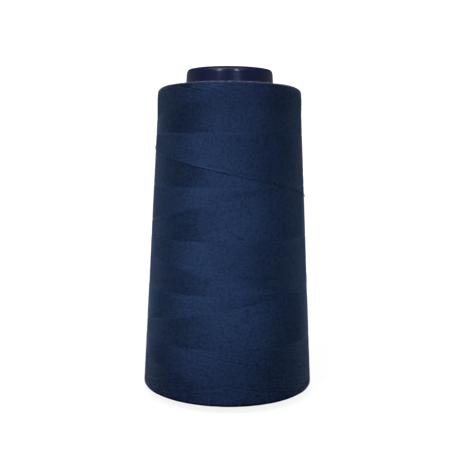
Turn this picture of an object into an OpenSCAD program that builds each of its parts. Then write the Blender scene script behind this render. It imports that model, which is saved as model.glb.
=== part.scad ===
// A king-size cone of sewing thread: one thread, cross-wound on a hollow moulded core.
// The origin is the centre of the core's foot, on its resting plane, with +Z up the cone's axis.
// Angles round the cone are in turns: 0 faces -Y, and they grow anticlockwise seen from above.

/* [Cone core] */
// Height of the core, foot to nose
core_h = 155; // [150:1:160]
// Outer radius of the tapered wall at the foot
core_foot_r = 30; // [29.5:0.1:30.5]
// Half-angle of the core's taper, in degrees
core_taper = 3.5; // [3.4:0.05:3.6]
// Thickness of the moulded wall
core_wall = 1.5; // [1.2:0.1:2]
// Radius of the straight seat inside the foot
seat_r = 27.9; // [27.5:0.1:28]
// Radius of the foot flange
flange_r = 31.4; // [31:0.1:32]
// Height of the foot flange
flange_h = 1; // [0.8:0.1:1.1]
// Width of the slot that holds the start of the thread
tail_slot_w = 0.8; // [0.6:0.1:1.2]

/* [Nose] */
// Radius of the bore through the nose
nose_bore_r = 15; // [13:0.5:16]
// Length of the collar that hangs inside the nose
collar_h = 10; // [6:1:14]
// Thickness of the nose's flat top
nose_web = 1.6; // [1.2:0.1:2]
// Ribs that join the collar to the wall
rib_count = 8; // [4:1:12]

/* [Thread package] */
// Height of the package's lower edge
package_bottom = 3.1; // [3.05:0.05:3.6]
// Height of the top of the package's shoulder
package_top = 147; // [144:1:148]
// Radius of the package's side, carried down to its lower edge
package_base_r = 41.3; // [38:0.1:42]
// Radius of the package's side, carried up to its top
package_top_r = 33.9; // [33:0.1:36]
// Width and height of the rounded shoulder
shoulder = [5.2, 3.1]; // [2:0.1:6]
// Width and height of the rounded lower edge
heel = [1, 1.2]; // [0.5:0.1:2]
// How far the end faces dip towards the core
end_dish = 0.7; // [0.4:0.1:0.7]
// How far the side swells just under the shoulder
swell = 0.35; // [0:0.05:0.6]

/* [Thread] */
// Diameter of the thread
thread_d = 0.3; // [0.25:0.01:0.38]
// Height that one wrap climbs or falls
wind_lead = 48; // [40:0.5:60]
// Turn at which the last falling wrap would pass the foot's plane
last_wrap_phase = 2.225; // [2.1:0.005:2.3]
// Where the free last wrap starts and ends, in turns
last_wrap_span = [-0.68, 0.36]; // [-0.7:0.01:0.6]
// Length of the loose end, in turns
loose_end_turns = 0.12; // [0.05:0.01:0.2]
// Wraps of the transfer tail in the groove over the foot
tail_wraps = 2.2; // [1:0.1:2.2]

/* [Label] */
// Height of the label
label_h = 28; // [15:1:40]
// Height of the label's lower edge
label_z = 14; // [11:1:30]
// Angle that the label covers, in degrees
label_angle = 100; // [40:5:150]
// Thickness of the label
label_t = 0.12; // [0.08:0.01:0.3]

/* [Hidden] */
$fn = 96;

rest_gap = 0.05;                // clearance between pieces that lie against each other
label_gap = 0.1;                // clearance behind the label, where the glue is
wrap_gap = 0.09;                // clearance under the wraps, which are drawn as straight chords
pivot_gap = 0.3;                // clearance between the last wrap and the loose end's pivot
coil_steps = 96;                // chords in one turn of thread
coil_sides = 6;                 // flats round the thread
arc_steps = 16;                 // chords in one rounded corner
mouth_chamfer = 0.8;            // at the foot, where the core goes over its holder
foot_edge_r = 0.35;             // round on the flange
nose_edge = [1.2, 3];           // width and height of the round on the nose
lip_r = 0.8;                    // round at the mouth of the nose bore
collar_wall = 1.3;
rib_t = 1.1;
rib_overlap = 0.5;              // how far a rib runs into the walls it joins
rib_rise = 0.8;                 // how far the ribs stop short of the collar's end
swell_centre = package_top - 5.5;
swell_reach = 9;                // how far above and below its centre the swell dies out
tail_pitch = thread_d + rest_gap;
slot_turn = 0.58;               // where the tail slot is cut, at the back
label_turn = 0.5;               // where the middle of the label is

seat_h = (core_foot_r - core_wall - seat_r) / tan(core_taper);
shoulder_z = package_top - shoulder[1];

navy_plastic = [0.07, 0.10, 0.24];
navy_thread = [0.10, 0.16, 0.27];
label_paper = [0.93, 0.92, 0.88];

// Outer radius of the core's tapered wall at height z
function core_r(z) = core_foot_r - z * tan(core_taper);

// Radius of the package's straight side at height z, without the swell
function side_r(z) = package_base_r
    + (package_top_r - package_base_r) * (z - package_bottom) / (package_top - package_bottom);

// Radius of the package's side at height z
function package_r(z) = side_r(z)
    + (abs(z - swell_centre) < swell_reach
        ? swell * (1 + cos(180 * (z - swell_centre) / swell_reach)) / 2
        : 0);

// Height of the last falling wrap at a turn
function last_wrap_z(turn) = wind_lead * (last_wrap_phase - turn);

// Height of the transfer tail at a turn
function tail_z(turn) = flange_h + thread_d / 2 + rest_gap + tail_pitch * (turn - slot_turn);

// Points on an elliptical arc, where half is its two half-axes
function arc(centre, half, from, to) =
    [for (i = [0:arc_steps])
        let (a = from + (to - from) * i / arc_steps)
        centre + [half[0] * cos(a), half[1] * sin(a)]];

// A place on the cone at a turn
function on_cone(turn, r, z) = [r * sin(360 * turn), -r * cos(360 * turn), z];

// The points round the thread where its centre line is at a turn
function thread_ring(turn, height_at, radius_at) =
    let (
        small = 0.001,
        z = height_at(turn),
        r = radius_at(z) + wrap_gap + thread_d / 2,
        rise = (height_at(turn + small) - height_at(turn - small)) / (2 * small),
        slope = atan2(rise, 2 * PI * r),
        out = on_cone(turn, 1, 0),
        along = on_cone(turn + 0.25, 1, 0),
        up = cos(slope) * [0, 0, 1] - sin(slope) * along
    )
    [for (k = [0:coil_sides - 1])
        let (a = 360 * k / coil_sides)
        on_cone(turn, r, z) + thread_d / 2 * (cos(a) * out + sin(a) * up)];

// A length of thread that follows height_at(turn), lying on a surface of radius radius_at(z)
module thread_coil(from, to, height_at, radius_at) {
    steps = ceil((to - from) * coil_steps);
    points = [for (i = [0:steps])
        each thread_ring(from + (to - from) * i / steps, height_at, radius_at)];
    sides = [for (i = [0:steps - 1], k = [0:coil_sides - 1])
        let (a = i * coil_sides, b = a + coil_sides, next = (k + 1) % coil_sides)
        [a + k, a + next, b + next, b + k]];
    first_cap = [for (k = [0:coil_sides - 1]) coil_sides - 1 - k];
    last_cap = [for (k = [0:coil_sides - 1]) steps * coil_sides + k];
    polyhedron(points, concat([first_cap], sides, [last_cap]), convexity = 10);
}

module core_shell() {
    flange_top = [flange_r - foot_edge_r, flange_h - foot_edge_r];
    nose_z = core_h - nose_edge[1];
    rotate_extrude()
        polygon(concat(
            [[seat_r + mouth_chamfer, 0]],
            arc([flange_r - foot_edge_r, foot_edge_r], [foot_edge_r, foot_edge_r], -90, 0),
            arc(flange_top, [foot_edge_r, foot_edge_r], 0, 90),
            [[core_r(flange_h), flange_h]],
            arc([core_r(nose_z) - nose_edge[0], nose_z], nose_edge, 0, 90),
            arc([nose_bore_r + lip_r, core_h - lip_r], [lip_r, lip_r], 90, 180),
            [[nose_bore_r, core_h - collar_h]],
            [[nose_bore_r + collar_wall, core_h - collar_h]],
            [[nose_bore_r + collar_wall, core_h - nose_web]],
            [[core_r(core_h - nose_web) - core_wall, core_h - nose_web]],
            [[seat_r, seat_h]],
            [[seat_r, mouth_chamfer]]
        ));
}

module nose_ribs() {
    inner = nose_bore_r + collar_wall - rib_overlap;
    outer = core_r(core_h - collar_h) - core_wall + rib_overlap;
    height = collar_h - nose_web - rib_rise;
    for (i = [0:rib_count - 1])
        rotate(360 * i / rib_count)
            translate([inner, -rib_t / 2, core_h - nose_web - height])
                cube([outer - inner, rib_t, height + rib_overlap]);
}

module cone_core() {
    color(navy_plastic)
        difference() {
            union() {
                core_shell();
                nose_ribs();
            }
            rotate(360 * slot_turn - 90)
                translate([core_r(0) + rest_gap, -tail_slot_w / 2, -flange_h])
                    cube([flange_r, tail_slot_w, 3 * flange_h]);
        }
}

module thread_package() {
    low = package_bottom - end_dish;
    high = package_top - end_dish;
    heel_z = package_bottom + heel[1];
    swell_start = swell_centre - swell_reach;
    swell_step = (shoulder_z - swell_start) / arc_steps;
    color(navy_thread)
        rotate_extrude()
            polygon(concat(
                [[core_r(low) + rest_gap, low]],
                arc([package_r(heel_z) - heel[0], heel_z], heel, -90, 0),
                [for (i = [0:arc_steps - 1])
                    let (z = swell_start + swell_step * i)
                    [package_r(z), z]],
                arc([package_r(shoulder_z) - shoulder[0], shoulder_z], shoulder, 0, 90),
                [[core_r(high) + rest_gap, high]]
            ));
}

module transfer_tail() {
    color(navy_thread)
        thread_coil(slot_turn, slot_turn + tail_wraps, function(t) tail_z(t), function(z) core_r(z));
}

module outer_wrap() {
    color(navy_thread)
        thread_coil(last_wrap_span[0], last_wrap_span[1], function(t) last_wrap_z(t),
                    function(z) package_r(z));
}

module loose_end() {
    gap_turns = pivot_gap / (2 * PI * package_r(last_wrap_z(last_wrap_span[1])));
    start = last_wrap_span[1] + gap_turns;
    color(navy_thread)
        thread_coil(start, start + loose_end_turns, function(t) last_wrap_z(t),
                    function(z) package_r(z));
}

module core_label() {
    function wall_r(z) = core_r(z) - core_wall - label_gap;
    top = label_z + label_h;
    color(label_paper)
        rotate(360 * label_turn - 90 - label_angle / 2)
            rotate_extrude(angle = label_angle)
                polygon([
                    [wall_r(label_z), label_z],
                    [wall_r(top), top],
                    [wall_r(top) - label_t, top],
                    [wall_r(label_z) - label_t, label_z]
                ]);
}

cone_core();
thread_package();
transfer_tail();
outer_wrap();
loose_end();
core_label();
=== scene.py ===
"""The looks of a king-size cone of sewing thread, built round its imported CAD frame.

Metres, +Z up the cone's axis, -Y the front. An angle round the cone is in turns: 0 faces -Y and
it grows anticlockwise seen from above. A place on the wound package is (turn, t, lift): t is the
height on the package's side, and runs on as arc length over the shoulder, over the heel and along
the end faces, and lift is the distance out from the package's surface.
"""

import math

import bpy
import numpy as np
from mathutils import Matrix, Vector


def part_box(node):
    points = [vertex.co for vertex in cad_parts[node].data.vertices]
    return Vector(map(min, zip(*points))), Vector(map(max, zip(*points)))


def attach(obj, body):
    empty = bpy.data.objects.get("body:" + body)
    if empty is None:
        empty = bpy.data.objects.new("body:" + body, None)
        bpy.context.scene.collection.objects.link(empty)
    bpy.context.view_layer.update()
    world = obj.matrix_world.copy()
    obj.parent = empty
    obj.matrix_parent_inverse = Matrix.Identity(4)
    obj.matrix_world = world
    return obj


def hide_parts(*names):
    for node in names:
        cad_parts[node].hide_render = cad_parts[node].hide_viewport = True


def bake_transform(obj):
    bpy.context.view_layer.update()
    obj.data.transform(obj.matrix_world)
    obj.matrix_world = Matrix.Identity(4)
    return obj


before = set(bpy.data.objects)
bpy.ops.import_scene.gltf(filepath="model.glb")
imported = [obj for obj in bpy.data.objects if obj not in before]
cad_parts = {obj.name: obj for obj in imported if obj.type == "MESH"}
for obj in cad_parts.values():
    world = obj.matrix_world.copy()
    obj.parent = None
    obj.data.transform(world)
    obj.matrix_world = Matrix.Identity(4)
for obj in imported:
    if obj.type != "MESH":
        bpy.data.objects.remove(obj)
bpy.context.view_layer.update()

MM = 0.001
TAU = 2 * math.pi
UP = np.array([0.0, 0.0, 1.0])
rng = np.random.default_rng(20)

# ---------------------------------------------------------------- sizes, from the CAD frame

core_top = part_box("cone_core")[1]
package_low, package_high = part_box("thread_package")
label_low, label_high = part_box("core_label")

CORE_H = core_top.z
FLANGE_OVERHANG = 1.4 * MM              # of the foot flange past the core's tapered wall
CORE_FOOT_R = core_top.x - FLANGE_OVERHANG
CORE_TAPER = math.tan(math.radians(3.5))
REST_GAP = 0.05 * MM

END_DISH = 0.7 * MM
PACKAGE_BOTTOM = package_low.z + END_DISH
PACKAGE_TOP = package_high.z
HEEL_LOSS = 0.06 * MM                   # how much the side narrows over the height of the heel
SIDE_TAPER = 7.4 * MM                   # how much it narrows from its lower edge to its top
PACKAGE_BASE_R = package_high.x + HEEL_LOSS
PACKAGE_TOP_R = PACKAGE_BASE_R - SIDE_TAPER
SHOULDER = (5.2 * MM, 3.1 * MM)
HEEL = (1.0 * MM, 1.2 * MM)
SWELL = 0.35 * MM
SWELL_CENTRE = PACKAGE_TOP - 5.5 * MM
SWELL_REACH = 9 * MM

THREAD_R = 0.15 * MM
WRAP_GAP = 0.09 * MM
WIND_LEAD = 48 * MM                     # height that one turn of the winding climbs or falls
FALLING_EDGE = 106.8 * MM               # where the newest falling thread crosses the front
RISING_EDGE = 94.2 * MM                 # where the newest rising thread crosses the front
WRAP_TURNS = (-0.68, 0.36)              # the free last wrap
LOOSE_TURNS = 0.12                      # the cut end after it
TAIL_START, TAIL_WRAPS = 0.58, 2.2      # the transfer tail, from the foot's slot
TAIL_LOW, TAIL_PITCH = 1.2 * MM, 0.35 * MM


def core_r(z):
    """Outer radius of the core's tapered wall at height z."""
    return CORE_FOOT_R - z * CORE_TAPER


def package_r(z):
    """Radius of the package's side at height z, with the swell under its shoulder."""
    along = (z - PACKAGE_BOTTOM) / (PACKAGE_TOP - PACKAGE_BOTTOM)
    straight = PACKAGE_BASE_R + (PACKAGE_TOP_R - PACKAGE_BASE_R) * along
    offset = np.clip((z - SWELL_CENTRE) / SWELL_REACH, -1, 1)
    return straight + SWELL * (1 + np.cos(math.pi * offset)) / 2


# ---------------------------------------------------------------- the package's outline

HEEL_Z = PACKAGE_BOTTOM + HEEL[1]
SHOULDER_Z = PACKAGE_TOP - SHOULDER[1]
ARC_POINTS = 25
SIDE_POINTS = 120


def arc(centre, half, start, stop):
    """Points on an elliptical arc in the (radius, height) plane."""
    a = np.radians(np.linspace(start, stop, ARC_POINTS))
    return np.stack([centre[0] + half[0] * np.cos(a), centre[1] + half[1] * np.sin(a)], 1)


def path_length(points):
    """The length of a path up to each of its points."""
    steps = np.linalg.norm(np.diff(points, axis=0), axis=1)
    return np.concatenate([[0], np.cumsum(steps)])


def package_outline():
    """The package's (radius, height) outline from core to core, and t at each of its points."""
    low_face = [core_r(package_low.z) + REST_GAP, package_low.z]
    high_z = PACKAGE_TOP - END_DISH
    high_face = [core_r(high_z) + REST_GAP, high_z]
    heel = arc((package_r(HEEL_Z) - HEEL[0], HEEL_Z), HEEL, -90, 0)
    side_z = np.linspace(HEEL_Z, SHOULDER_Z, SIDE_POINTS)[1:-1]
    side = np.stack([package_r(side_z), side_z], 1)
    shoulder = arc((package_r(SHOULDER_Z) - SHOULDER[0], SHOULDER_Z), SHOULDER, 0, 90)
    points = np.concatenate([[low_face], heel, side, shoulder, [high_face]])
    length = path_length(points)
    t = points[:, 1].copy()
    first, last = len(heel), len(heel) + len(side) + 1
    t[:first] = HEEL_Z - (length[first] - length[:first])
    t[last:] = SHOULDER_Z + (length[last:] - length[last])
    return points, t


OUTLINE, OUTLINE_T = package_outline()
OUTLINE_SLOPE = np.gradient(OUTLINE, axis=0)
OUTLINE_NORMAL = np.stack([OUTLINE_SLOPE[:, 1], -OUTLINE_SLOPE[:, 0]], 1)
OUTLINE_NORMAL /= np.linalg.norm(OUTLINE_NORMAL, axis=1)[:, None]


def ring_frame(turn):
    """The outward and the sideways unit vectors at a turn, as rows."""
    a = TAU * np.asarray(turn)
    zero = np.zeros_like(a)
    outward = np.stack([np.sin(a), -np.cos(a), zero], -1)
    sideways = np.stack([np.cos(a), np.sin(a), zero], -1)
    return outward, sideways


def on_package(turn, t, lift):
    """The points at (turn, t, lift), and the normals of the package's surface there."""
    r = np.interp(t, OUTLINE_T, OUTLINE[:, 0])
    z = np.interp(t, OUTLINE_T, OUTLINE[:, 1])
    normal_r = np.interp(t, OUTLINE_T, OUTLINE_NORMAL[:, 0])
    normal_z = np.interp(t, OUTLINE_T, OUTLINE_NORMAL[:, 1])
    out, _ = ring_frame(turn)
    normal = out * normal_r[..., None] + UP * normal_z[..., None]
    normal /= np.linalg.norm(normal, axis=-1)[..., None]
    return out * r[..., None] + UP * z[..., None] + normal * lift[..., None], normal


# ---------------------------------------------------------------- meshes


def new_mesh(name, verts, faces, smooth=True):
    """A mesh object from an array of points and a list of arrays of faces."""
    mesh = bpy.data.meshes.new(name)
    sizes = np.concatenate([np.full(len(f), f.shape[1], np.int32) for f in faces])
    starts = np.concatenate([[0], np.cumsum(sizes)[:-1]]).astype(np.int32)
    corners = np.concatenate([f.ravel() for f in faces]).astype(np.int32)
    mesh.vertices.add(len(verts))
    mesh.vertices.foreach_set("co", np.asarray(verts, np.float32).ravel())
    mesh.loops.add(len(corners))
    mesh.loops.foreach_set("vertex_index", corners)
    mesh.polygons.add(len(sizes))
    mesh.polygons.foreach_set("loop_start", starts)
    mesh.polygons.foreach_set("use_smooth", np.full(len(sizes), smooth))
    mesh.update(calc_edges=True)
    mesh.validate()
    piece = bpy.data.objects.new(name, mesh)
    bpy.context.scene.collection.objects.link(piece)
    return piece


def point_attribute(piece, name, values):
    """Stores one number per vertex for the materials to read."""
    layer = piece.data.attributes.new(name, "FLOAT", "POINT")
    layer.data.foreach_set("value", np.asarray(values, np.float32).ravel())


def tube_rings(points, normals, along, around, radius, section, spread):
    """The points of a tube, in one ring for each point of its path."""
    tangent = np.gradient(points, axis=0)
    tangent /= np.linalg.norm(tangent, axis=1)[:, None]
    side = np.cross(tangent, normals)
    side /= np.linalg.norm(side, axis=1)[:, None]
    outward = np.cross(side, tangent)
    size = np.full((len(points), len(around)), radius)
    if section is not None:
        size = radius * section(along[:, None], around[None, :])
    return (points[:, None, :]
            + (size * np.cos(around))[..., None] * outward[:, None, :]
            + (spread * size * np.sin(around))[..., None] * side[:, None, :])


def thread_tubes(name, paths, radius, sides=3, section=None, spread=1.0):
    """One closed tube along each path. A path is (points, normals, tone), tone being a number
    from 0 to 1 that sets that length of thread apart. section(along, around) scales the radius,
    and spread makes the tube wider than it is high."""
    verts, tones, alongs, acrosses, quads, caps = [], [], [], [], [], []
    around = TAU * np.arange(sides) / sides
    corner = np.arange(sides)
    following = (corner + 1) % sides
    base = 0
    for points, normals, tone in paths:
        count = len(points)
        along = path_length(points)
        rings = tube_rings(points, normals, along, around, radius, section, spread)
        verts.append(rings.reshape(-1, 3))
        tones.append(np.full(count * sides, tone))
        alongs.append(np.repeat(along, sides))
        acrosses.append(np.tile(np.sin(around), count))
        ring = base + sides * np.arange(count - 1)[:, None]
        beyond = ring + sides
        quad = [ring + corner, beyond + corner, beyond + following, ring + following]
        quads.append(np.stack(quad, -1).reshape(-1, 4))
        caps.append(np.stack([base + corner, base + sides * count - 1 - corner]))
        base += count * sides
    piece = new_mesh(name, np.concatenate(verts), [np.concatenate(quads), np.concatenate(caps)])
    point_attribute(piece, "tone", np.concatenate(tones))
    point_attribute(piece, "along", np.concatenate(alongs))
    point_attribute(piece, "across", np.concatenate(acrosses))
    return piece


def revolve(name, outline, segments=160):
    """A closed ring solid from a closed (radius, height) outline."""
    count = len(outline)
    out, _ = ring_frame(np.arange(segments) / segments)
    verts = out[:, None, :] * outline[None, :, 0, None] + UP * outline[None, :, 1, None]
    i = np.arange(segments)[:, None]
    k = np.arange(count)[None, :]
    next_i = (i + 1) % segments
    next_k = (k + 1) % count
    quad = [i * count + k, next_i * count + k, next_i * count + next_k, i * count + next_k]
    return new_mesh(name, verts.reshape(-1, 3), [np.stack(quad, -1).reshape(-1, 4)])


# ---------------------------------------------------------------- the winding

STARTS = 158                            # threads side by side in one lead of each family
TRAVERSE = 3.0                          # turns from one end of the package to the other
MEET_TOP = (FALLING_EDGE + RISING_EDGE) / 2 + WIND_LEAD
MEET_BOTTOM = MEET_TOP - TRAVERSE * WIND_LEAD
REVERSAL = 0.022                        # turns over which a thread levels out at each end
SAMPLES_PER_TURN = 60
END_SCATTER = (-0.9 * MM, 0.5 * MM)     # how much further out a thread turns back than its family
END_BLUR = 14                           # how soon that unevenness dies out; more is sooner
WAVES = 3                               # slow waves that make a thread wander up and down
WAVE_HEIGHT = (0.010 * MM, 0.035 * MM)
WAVES_PER_TURN = (0.4, 3.2)

FLATTENED = 1.25                        # width of a wound thread, as a share of its height
SURFACE_LIFT = -0.10 * MM               # of the upper threads' centre lines
LAYER = 0.12 * MM                       # half the step between an upper and a lower family
LIFT_SCATTER = 0.010 * MM
EDGE_BLUR = 0.034                       # half the share of a lead over which two families change places

BURIED_STARTS = 104                     # as STARTS, for the layer under the two on top
BURIED_TURNS = 2.9
BURIED_SAMPLES = 110
BURIED_INSET = 2 * MM                   # at each end
BURIED_LIFT = -0.52 * MM
BURIED_LAYER = 0.05 * MM                # half the step between its rising and falling threads
BURIED_R = 0.21 * MM
# the buried layer keeps to the darker tones: painted shade between the threads over it
BURIED_TONES = (0, 0.6)                 # tones go from 0 for the darkest thread to 1

END_ARC_REACH = (1.2 * MM, 1.6 * MM)    # how far the low and the high arcs go under the wound threads
END_ARC_PITCH = 0.27 * MM               # from one ring of arcs to the next
END_ARC_SPACING = TAU * 1.25 * MM       # from one arc of a ring to the next
END_ARC_OVERLAP = (0.7, 1.15)           # half an arc's length, as a share of that spacing
END_ARC_SAMPLES = 9
END_ARC_LIFT = -0.13 * MM               # of the middle of an arc
END_ARC_DIVE = 0.34 * MM                # how far its ends go down from there

MASS_INSET = 0.76 * MM                  # depth of the solid ring under the modelled threads
MASS_TONE = 0.4


def ease(v, part):
    """From 0 to 1 with a straight middle and rounded ends that each take that part of the way."""
    slope = 1 / (1 - part)
    middle = slope * (v - part / 2)
    start = slope * v * v / (2 * part)
    stop = 1 - slope * (1 - v) ** 2 / (2 * part)
    return np.where(v < part, start, np.where(v > 1 - part, stop, middle))


def traverse_samples():
    """Shares of a traverse at which a thread has a point, closer together at its ends."""
    part = REVERSAL / TRAVERSE
    ends = part * np.array([0, 0.3, 0.6, 1.0])
    middle = np.linspace(1.6 * part, 1 - 1.6 * part, int(TRAVERSE * SAMPLES_PER_TURN))
    return np.concatenate([ends, middle, 1 - ends[::-1]])


def wander(turn):
    """How far a thread strays up or down from its even path."""
    drift = 0
    for _ in range(WAVES):
        height = rng.uniform(*WAVE_HEIGHT)
        waves_per_turn = rng.uniform(*WAVES_PER_TURN)
        drift = drift + height * np.sin(TAU * (waves_per_turn * turn + rng.uniform()))
    return drift


def layering(turn, t, age, rising):
    """1 where a thread lies over the other family, -1 where it lies under it. A thread's age goes
    from 0 for the newest to 1, and a thread lies over the older ones that it crosses."""
    if rising:
        crossed = np.mod(turn + (t - FALLING_EDGE) / WIND_LEAD, 1)
    else:
        crossed = np.mod(turn - (t - RISING_EDGE) / WIND_LEAD, 1)
    over = np.minimum(crossed - age, 1 - crossed)
    under = np.minimum(age - crossed, crossed)
    return np.clip(np.where(crossed > age, over, -under) / EDGE_BLUR, -1, 1)


def winding(rising):
    """The paths of one family of threads, each from one end of the package to the other."""
    v = traverse_samples()
    climb = ease(v, REVERSAL / TRAVERSE)
    if rising:
        share, first = climb, (MEET_BOTTOM - RISING_EDGE) / WIND_LEAD
    else:
        share, first = 1 - climb, (FALLING_EDGE - MEET_TOP) / WIND_LEAD
    reach = WIND_LEAD * REVERSAL / 2
    even_t = MEET_BOTTOM + reach + (MEET_TOP - MEET_BOTTOM - 2 * reach) * share
    paths = []
    for i in range(STARTS):
        age = (i + 0.5) / STARTS
        lower, higher = rng.uniform(*END_SCATTER, 2)
        turn = age + first + TRAVERSE * v
        t = even_t - lower * (1 - share) ** END_BLUR + higher * share ** END_BLUR
        t = t + wander(turn) * np.sin(math.pi * v) ** 0.5
        scatter = rng.normal(0, LIFT_SCATTER)
        lift = SURFACE_LIFT - LAYER + LAYER * layering(turn, t, age, rising) + scatter
        points, normals = on_package(turn, t, lift)
        paths.append((points, normals, rng.uniform()))
    return paths


def buried_winding():
    """The paths of an older layer, which shows only between the threads over it."""
    paths = []
    v = np.linspace(0, 1, BURIED_SAMPLES)
    t = MEET_BOTTOM + BURIED_INSET + (MEET_TOP - MEET_BOTTOM - 2 * BURIED_INSET) * v
    for direction in (-1, 1):
        lift = np.full_like(v, BURIED_LIFT + direction * BURIED_LAYER)
        for i in range(BURIED_STARTS):
            turn = (i + rng.uniform(0.3, 0.7)) / BURIED_STARTS + direction * BURIED_TURNS * v
            points, normals = on_package(turn, t, lift)
            paths.append((points, normals, rng.uniform(*BURIED_TONES)))
    return paths


def end_arcs():
    """Short arcs of the buried layers, where each turns back at an end face, the heel or the
    shoulder."""
    margin = 0.1 * MM
    lift_scatter, place_scatter, tilt_scatter = 0.03 * MM, 0.05 * MM, 0.12 * MM
    bands = [(OUTLINE_T[0] + margin, MEET_BOTTOM + END_ARC_REACH[0]),
             (MEET_TOP - END_ARC_REACH[1], OUTLINE_T[-1] - margin)]
    w = np.linspace(-1, 1, END_ARC_SAMPLES)
    paths = []
    for low, high in bands:
        for ring_t in np.arange(low, high, END_ARC_PITCH):
            ring_r = np.interp(ring_t, OUTLINE_T, OUTLINE[:, 0])
            count = int(TAU * ring_r / END_ARC_SPACING)
            phase = rng.uniform()
            for k in range(count):
                half = rng.uniform(*END_ARC_OVERLAP) / count
                centre = phase + (k + rng.uniform(-0.2, 0.2)) / count
                lift = END_ARC_LIFT - END_ARC_DIVE * w ** 4 + rng.normal(0, lift_scatter)
                t = ring_t + rng.normal(0, place_scatter) + rng.normal(0, tilt_scatter) * w
                t = np.clip(t, OUTLINE_T[0], OUTLINE_T[-1])
                points, normals = on_package(centre + half * w, t, lift)
                paths.append((points, normals, rng.uniform()))
    return paths


def thread_mass():
    """The buried layers, as one ring under the modelled threads. Every fourth point of the
    outline is enough for it, and it is kept clear of the core."""
    outline = (OUTLINE - OUTLINE_NORMAL * MASS_INSET)[::4]
    outline[:, 0] = np.maximum(outline[:, 0], core_r(outline[:, 1]) + REST_GAP)
    piece = revolve("thread_mass", outline)
    for attribute, value in (("tone", MASS_TONE), ("along", 0.0), ("across", 0.0)):
        point_attribute(piece, attribute, np.full(len(piece.data.vertices), value))
    return piece


# ---------------------------------------------------------------- free thread and loose fibres

PLIES = 3
PLY_DEPTH = 0.28                        # of the grooves between them, as a share of the radius
TWIST = 1.3 * MM                        # length in which the plies go once round
PLY_SAMPLES = 2600                      # points in one turn of a plied thread
TAIL_SAMPLES = 1820                     # the same, for the smaller turns of the tail
WRAP_TONE, TAIL_TONE = 0.8, 0.6

HAIR_SAMPLES = 6
SIDE_HAIRS, SIDE_HAIR_R = 2600, 0.011 * MM
CREST_HAIRS, CREST_HAIR_R = 1600, 0.02 * MM


def plied(along, around):
    """The outline of a thread of twisted plies, as a share of its radius."""
    lobe = np.abs(np.cos((around - TAU * along / TWIST) * PLIES / 2))
    return 1 - PLY_DEPTH + PLY_DEPTH * lobe


def last_wrap(start, stop):
    """The path of the last wrap between two turns, over the finished package."""
    samples = int(PLY_SAMPLES * (stop - start))
    turn = np.linspace(start, stop, samples)
    t = FALLING_EDGE - WIND_LEAD * turn
    points, normals = on_package(turn, t, np.full(samples, WRAP_GAP + THREAD_R))
    return points, normals, WRAP_TONE


def transfer_tail():
    """The transfer tail's path in the groove over the foot."""
    turn = np.linspace(TAIL_START, TAIL_START + TAIL_WRAPS, int(TAIL_SAMPLES * TAIL_WRAPS))
    z = TAIL_LOW + TAIL_PITCH * (turn - TAIL_START)
    out, _ = ring_frame(turn)
    r = core_r(z) + WRAP_GAP + THREAD_R
    return out * r[:, None] + UP * z[:, None], out, TAIL_TONE


def hair_paths(count, low, high, length, stand):
    """Short loose fibres between two places on the package, each rooted in the surface. length
    and stand are about how long they are and how far they stand out."""
    paths = []
    w = np.linspace(0, 1, HAIR_SAMPLES)
    for _ in range(count):
        reach = length * rng.uniform(0.5, 1.3)
        lean = rng.uniform(0, TAU)
        curl = rng.uniform(-0.5, 0.5)
        heading = lean + curl * w
        root_t = rng.uniform(low, high)
        t = np.clip(root_t + reach * w * np.sin(heading) * 0.5, OUTLINE_T[0], OUTLINE_T[-1])
        turn = rng.uniform() + reach * w * np.cos(heading) / (TAU * package_r(root_t))
        lift = stand * rng.uniform(0.3, 1.2) * np.sin(0.75 * math.pi * w) + 0.02 * MM
        points, normals = on_package(turn, t, lift)
        paths.append((points, normals, rng.uniform()))
    return paths


# ---------------------------------------------------------------- materials

BLACK = (0, 0, 0, 1)
FIBRE_BLUE = (0.05, 0.10, 0.20, 1)
# pale blue of the shoulder's fuzz: a painted highlight for the light that the navy fuzz catches
FUZZ_PAINTED_HIGHLIGHT = (0.27, 0.33, 0.60, 1)
PLY_PITCH = 0.45 * MM                   # length of thread from one ply's ridge to the next
PLY_SLANT = 0.28                        # pitches that a ridge leans over in half a thread's width
# painted shade: the thread is painted duller below the first height and above the second
LOW_PAINTED_SHADE_STOP = 45 * MM                 # the thread gets duller below this height
HIGH_PAINTED_SHADE_START = 105 * MM              # and above this one
BAND_START, BAND_STOP = 10.5 * MM, 12.6 * MM    # the label's bands, from its middle


class Nodes:
    """A short way to write a material's node tree."""

    def __init__(self, name):
        self.material = bpy.data.materials.new(name)
        self.material.use_nodes = True
        self.tree = self.material.node_tree
        self.tree.nodes.clear()

    def add(self, kind, inputs=None, **settings):
        node = self.tree.nodes.new("ShaderNode" + kind)
        for key, value in settings.items():
            setattr(node, key, value)
        for key, value in (inputs or {}).items():
            self.put(node.inputs[key], value)
        return node

    def put(self, socket, value):
        if isinstance(value, bpy.types.NodeSocket):
            self.tree.links.new(value, socket)
        else:
            socket.default_value = value

    def place(self):
        return self.add("TexCoord").outputs["Object"]

    def height(self, place):
        return self.add("SeparateXYZ", {0: place}).outputs[2]

    def attribute(self, name):
        return self.add("Attribute", attribute_name=name).outputs["Fac"]

    def noise(self, vector, scale, detail, rough):
        inputs = {"Vector": vector, "Scale": scale, "Detail": detail, "Roughness": rough}
        return self.add("TexNoise", inputs).outputs["Fac"]

    def span(self, value, low, high, to_low, to_high):
        inputs = {0: value, 1: low, 2: high, 3: to_low, 4: to_high}
        return self.add("MapRange", inputs).outputs[0]

    def math(self, operation, *values):
        return self.add("Math", dict(enumerate(values)), operation=operation).outputs[0]

    def mix(self, factor, a, b):
        return self.add("Mix", {"Factor": factor, 6: a, 7: b}, data_type="RGBA").outputs[2]

    def bump(self, strength, distance, height):
        inputs = {"Strength": strength, "Distance": distance, "Height": height}
        return self.add("Bump", inputs).outputs[0]

    def finish(self, shader):
        self.add("OutputMaterial", {"Surface": shader.outputs[0]})
        return self.material


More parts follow.
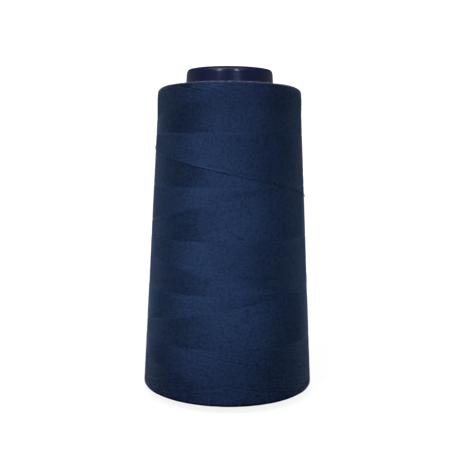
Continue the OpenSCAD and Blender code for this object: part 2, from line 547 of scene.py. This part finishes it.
def thread_material():
    """Dyed spun polyester: navy, twisted, a little lustrous along the thread. Painted shade makes it
    duller and darker towards the package's ends, most of all over the heel and the shoulder, and
    darkens the grooves between its plies."""
    n = Nodes("navy_thread")
    dark, light = (0.0034, 0.0078, 0.0205, 1), (0.0074, 0.0162, 0.0410, 1)
    groove = (0.002, 0.004, 0.014, 1)
    painted_shade_dark = (0.0008, 0.0012, 0.0045, 1)
    painted_shade_shine, side_shine = (0.075, 0.085, 0.30, 1), (0.16, 0.34, 0.85, 1)
    place = n.place()
    height = n.height(place)

    twist = n.math("MULTIPLY", n.attribute("along"), 1 / PLY_PITCH)
    slant = n.math("MULTIPLY", n.attribute("across"), PLY_SLANT)
    ply = n.math("ADD", twist, slant)
    ridge = n.math("ABSOLUTE", n.math("SINE", n.math("MULTIPLY", ply, math.pi)))
    fibre = n.noise(place, 9000.0, 2.0, 0.6)
    patch = n.noise(place, 60.0, 3.0, 0.6)
    grain = n.span(n.noise(place, 850.0, 1.0, 0.5), 0.3, 0.7, 0.52, 1.48)

    # painted shade: duller and darker towards both ends of the package, most of all over the heel and
    # the shoulder; grain is the thread's own random lustre
    low_painted_shade = n.span(height, PACKAGE_BOTTOM, LOW_PAINTED_SHADE_STOP, 0.45, 1.0)
    high_painted_shade = n.span(height, HIGH_PAINTED_SHADE_START, PACKAGE_TOP, 1.0, 0.62)
    end_painted_shade = n.math("MULTIPLY", low_painted_shade, high_painted_shade)
    heel_painted_shade = n.span(height, PACKAGE_BOTTOM, HEEL_Z + 0.6 * MM, 0.2, 1.0)
    shoulder_painted_shade = n.span(height, SHOULDER_Z - 0.5 * MM, PACKAGE_TOP - 1 * MM, 1.0, 0.5)
    edge = n.math("MULTIPLY", heel_painted_shade, shoulder_painted_shade)
    grain_and_painted_shade = n.math("MULTIPLY", edge, grain)

    shade = n.math("ADD", n.math("MULTIPLY", n.attribute("tone"), 0.3), n.math("MULTIPLY", patch, 0.7))
    colour = n.mix(n.span(shade, 0.15, 0.85, 0.0, 1.0), dark, light)
    # painted shade in the grooves between the plies
    colour = n.mix(n.span(ridge, 0.0, 0.5, 0.45, 0.0), colour, groove)
    colour = n.mix(n.math("MULTIPLY", end_painted_shade, edge), painted_shade_dark, colour)
    relief = n.math("ADD", ridge, n.math("MULTIPLY", fibre, 0.5))
    shader = n.add("BsdfPrincipled", {
        "Base Color": colour,
        "Roughness": n.span(fibre, 0.3, 0.7, 0.40, 0.50),
        "IOR": 2.4,
        "Specular IOR Level": 0.5,
        # the painted shade also dims the thread's reflection and sheen at the ends
        "Specular Tint": n.mix(grain_and_painted_shade, BLACK, n.mix(end_painted_shade, painted_shade_shine, side_shine)),
        "Sheen Weight": n.math("MULTIPLY", grain_and_painted_shade, 0.4),
        "Sheen Roughness": 0.35,
        "Sheen Tint": (0.26, 0.46, 0.80, 1),
        "Normal": n.bump(0.35, 0.05 * MM, relief),
    })
    return n.finish(shader)


def fibre_material(name, colour):
    """Loose fibres, from that colour to nearly the thread's own."""
    n = Nodes(name)
    near_thread = (0.02, 0.03, 0.06, 1)
    shade = n.mix(n.span(n.attribute("tone"), 0.0, 1.0, 0.0, 0.6), colour, near_thread)
    shader = n.add("BsdfPrincipled", {"Base Color": shade, "Roughness": 0.6, "Specular IOR Level": 0.3})
    return n.finish(shader)


def core_material():
    """Glossy moulded plastic, deep navy, with faint flow lines and a matt, rubbed rim."""
    n = Nodes("navy_core_plastic")
    dark, light = (0.0016, 0.0052, 0.0330, 1), (0.0030, 0.0085, 0.0470, 1)
    place = n.place()
    flow = n.add("Mapping", {"Vector": place, "Scale": (90.0, 90.0, 14.0)}).outputs[0]
    swirl = n.noise(flow, 3.0, 4.0, 0.6)
    marks = n.noise(place, 900.0, 6.0, 0.7)
    rim = n.span(n.height(place), CORE_H - 1.8 * MM, CORE_H - 0.6 * MM, 0.0, 1.0)
    gloss = n.span(marks, 0.35, 0.65, 0.17, 0.26)
    relief = n.math("ADD", n.math("MULTIPLY", swirl, 0.6), n.math("MULTIPLY", marks, 0.15))
    shader = n.add("BsdfPrincipled", {
        "Base Color": n.mix(n.span(swirl, 0.35, 0.65, 0.0, 1.0), dark, light),
        "Roughness": n.math("MAXIMUM", gloss, n.math("MULTIPLY", rim, 0.75)),
        "Specular IOR Level": n.span(rim, 0.0, 1.0, 0.5, 0.05),
        "Normal": n.bump(0.12, 0.1 * MM, relief),
    })
    return n.finish(shader)


def label_material():
    """Matt paper with a plain navy band at its upper and lower edges, and no print."""
    n = Nodes("label_paper")
    dull, pale = (0.62, 0.59, 0.52, 1), (0.80, 0.78, 0.71, 1)
    stained = (0.55, 0.50, 0.40, 1)
    band_navy = (0.02, 0.04, 0.12, 1)
    place = n.place()
    fibres = n.noise(place, 2500.0, 4.0, 0.65)
    stain = n.noise(place, 120.0, 2.0, 0.5)
    paper = n.mix(n.span(stain, 0.4, 0.8, 0.0, 0.25), n.mix(fibres, dull, pale), stained)
    middle = (label_low.z + label_high.z) / 2
    off_middle = n.math("ABSOLUTE", n.math("SUBTRACT", n.height(place), middle))
    past_start = n.math("GREATER_THAN", off_middle, BAND_START)
    before_stop = n.math("LESS_THAN", off_middle, BAND_STOP)
    shader = n.add("BsdfPrincipled", {
        "Base Color": n.mix(n.math("MULTIPLY", past_start, before_stop), paper, band_navy),
        "Roughness": n.span(fibres, 0.3, 0.7, 0.75, 0.92),
        "Normal": n.bump(0.3, 0.03 * MM, fibres),
    })
    return n.finish(shader)


# ---------------------------------------------------------------- the pieces


def dress(piece, material, stands_for=None, body=None):
    """Gives a new piece its material, hides the CAD node that it stands for, and attaches it to the
    body it rides on.
    """
    piece.data.materials.append(material)
    if stands_for:
        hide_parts(stands_for)
    if body:
        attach(piece, body)


thread = thread_material()
dress(thread_mass(), thread, "thread_package", "cone")
for piece in (
    thread_tubes("rising_threads", winding(True), THREAD_R, spread=FLATTENED),
    thread_tubes("falling_threads", winding(False), THREAD_R, spread=FLATTENED),
    thread_tubes("buried_threads", buried_winding(), BURIED_R, spread=FLATTENED),
    thread_tubes("end_turns", end_arcs(), THREAD_R),
):
    dress(piece, thread, body="cone")

side_hairs = hair_paths(SIDE_HAIRS, HEEL_Z, SHOULDER_Z, length=1.6 * MM, stand=0.35 * MM)
hairs = thread_tubes("loose_fibres", side_hairs, SIDE_HAIR_R)
dress(hairs, fibre_material("loose_fibre", FIBRE_BLUE), body="cone")

crest_t = OUTLINE_T[-2]                 # where the shoulder passes into the end face
crest_low, crest_high = crest_t - 2 * MM, crest_t + 1.4 * MM
crest_hairs = hair_paths(CREST_HAIRS, crest_low, crest_high, length=1.2 * MM, stand=0.36 * MM)
# the crest's fibres are the thread's own fuzz, and their pale colour is a painted highlight
crest_fuzz = thread_tubes("shoulder_fuzz", crest_hairs, CREST_HAIR_R)
dress(crest_fuzz, fibre_material("fuzz_painted_highlight", FUZZ_PAINTED_HIGHLIGHT), body="cone")

WRAP_STOP = WRAP_TURNS[1]
SPLIT_TURN = WRAP_STOP - 0.05           # the loose end's piece starts here, before its pivot

wrap_path = last_wrap(WRAP_TURNS[0], SPLIT_TURN)
wrap = thread_tubes("outer_wrap_thread", [wrap_path], THREAD_R, sides=10, section=plied)
dress(wrap, thread, "outer_wrap", "outer_wrap")

loose_path = last_wrap(SPLIT_TURN, WRAP_STOP + LOOSE_TURNS)
loose = thread_tubes("loose_end_thread", [loose_path], THREAD_R, sides=10, section=plied)
dress(loose, thread, "loose_end")
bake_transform(loose)

tail = thread_tubes("transfer_tail_thread", [transfer_tail()], THREAD_R, sides=8, section=plied)
dress(tail, thread, "transfer_tail", "cone")

for node, material in (("cone_core", core_material()), ("core_label", label_material())):
    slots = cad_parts[node].data.materials
    slots.clear()
    slots.append(material)

# ---------------------------------------------------------------- floor, light and camera

WHITE = (1.0, 1.0, 1.0)
PALE_BLUE = (0.66, 0.88, 1.0)
PALE_VIOLET = (0.62, 0.71, 1.0)
FLOOR_HALF = 3.0
FLOOR_LEVEL = -0.05 * MM                # just clear of the foot
GLOW_START, GLOW_STOP = 60 * MM, 500 * MM    # the floor gets brighter between these distances
SURROUND, BACKDROP = 0.16, 1.2          # brightness of the world, for the object and for the camera
AIM_HEIGHT = 0.55 * CORE_H              # of the place that the lights are aimed at
SOFTBOXES = (
    # name, azimuth and elevation in degrees, distance, size, power, tint
    ("left_softbox", -36, 52, 0.8, (0.45, 0.30), 4.2, WHITE),
    ("right_softbox", 24, 52, 0.8, (0.45, 0.30), 2.05, WHITE),
    ("left_catchlight", -28, 30, 0.8, (0.08, 0.17), 0.80, PALE_VIOLET),
    ("right_catchlight", 19, 29, 0.8, (0.08, 0.19), 0.90, PALE_VIOLET),
    ("left_rim_light", -124, -2, 0.75, (0.5, 0.3), 0.50, PALE_BLUE),
    ("right_rim_light", 124, -2, 0.75, (0.5, 0.3), 0.33, PALE_BLUE),
    ("back_softbox", 176, 50, 0.8, (0.5, 0.3), 3.0, WHITE),
)
CAMERA_PLACE = (-1.2 * MM, -347.7 * MM, 115.27 * MM)
CAMERA_DOWN, CAMERA_ROLL = 5.78, 0.46   # degrees


def studio_floor():
    """A plain pale floor that runs out of view. Only the camera sees it, and only from above, so
    the world lights the object's underside."""
    half = FLOOR_HALF
    corners = [(-half, -half), (half, -half), (half, half), (-half, half)]
    verts = np.array([(x, y, FLOOR_LEVEL) for x, y in corners])
    floor = new_mesh("floor", verts, [np.array([[0, 1, 2, 3]])], smooth=False)
    n = Nodes("pale_floor")
    grey, paler = (0.12, 0.12, 0.12, 1), (0.14, 0.14, 0.14, 1)
    place = n.place()
    colour = n.mix(n.noise(place, 40.0, 3.0, 0.5), grey, paler)
    away = n.add("VectorMath", {0: place}, operation="LENGTH").outputs["Value"]
    glow = n.span(away, GLOW_START, GLOW_STOP, 0.88, 1.05)
    matt = n.add("BsdfPrincipled", {"Base Color": colour, "Roughness": 0.9, "Specular IOR Level": 0.1})
    light = n.add("Emission", {"Color": (1, 1, 1, 1), "Strength": glow})
    both = n.add("AddShader", {0: matt.outputs[0], 1: light.outputs[0]})
    from_camera = n.add("LightPath").outputs["Is Camera Ray"]
    above = n.math("SUBTRACT", 1.0, n.add("NewGeometry").outputs["Backfacing"])
    shown = n.math("MULTIPLY", from_camera, above)
    clear = n.add("BsdfTransparent").outputs[0]
    one_sided = n.add("MixShader", {0: shown, 1: clear, 2: both.outputs[0]})
    floor.data.materials.append(n.finish(one_sided))


def studio_world():
    """Soft light from all round the object, and a white backdrop that only the camera sees."""
    world = bpy.data.worlds.new("studio")
    bpy.context.scene.world = world
    world.use_nodes = True
    tree = world.node_tree
    tree.nodes.clear()
    path = tree.nodes.new("ShaderNodeLightPath")
    strength = tree.nodes.new("ShaderNodeMapRange")
    strength.inputs[3].default_value = SURROUND
    strength.inputs[4].default_value = BACKDROP
    back = tree.nodes.new("ShaderNodeBackground")
    back.inputs["Color"].default_value = (1, 1, 1, 1)
    out = tree.nodes.new("ShaderNodeOutputWorld")
    tree.links.new(path.outputs["Is Camera Ray"], strength.inputs[0])
    tree.links.new(strength.outputs[0], back.inputs["Strength"])
    tree.links.new(back.outputs[0], out.inputs["Surface"])


def softbox(name, azimuth, elevation, distance, size, power, tint):
    """An area light aimed at the package's middle, from an azimuth measured from the front."""
    target = Vector((0, 0, AIM_HEIGHT))
    a, e = math.radians(azimuth), math.radians(elevation)
    direction = Vector((math.sin(a) * math.cos(e), -math.cos(a) * math.cos(e), math.sin(e)))
    light = bpy.data.lights.new(name, "AREA")
    light.shape = "RECTANGLE"
    light.size, light.size_y = size
    light.energy = power
    light.color = tint
    lamp = bpy.data.objects.new(name, light)
    lamp.location = target + distance * direction
    lamp.rotation_euler = (-direction).to_track_quat("-Z", "Y").to_euler()
    bpy.context.scene.collection.objects.link(lamp)


def camera():
    """The photograph's view: a little above the middle, looking slightly down."""
    data = bpy.data.cameras.new("camera")
    data.sensor_width = 36.0
    data.lens = 56.7
    data.clip_start = 0.01
    eye = bpy.data.objects.new("camera", data)
    tilt = Matrix.Rotation(math.radians(90 - CAMERA_DOWN), 4, "X")
    roll = Matrix.Rotation(math.radians(CAMERA_ROLL), 4, "Z")
    eye.matrix_world = Matrix.Translation(CAMERA_PLACE) @ tilt @ roll
    bpy.context.scene.collection.objects.link(eye)
    bpy.context.scene.camera = eye


studio_floor()
studio_world()
for settings in SOFTBOXES:
    softbox(*settings)
camera()

view = bpy.context.scene.view_settings
view.view_transform = "Standard"
view.look = "None"
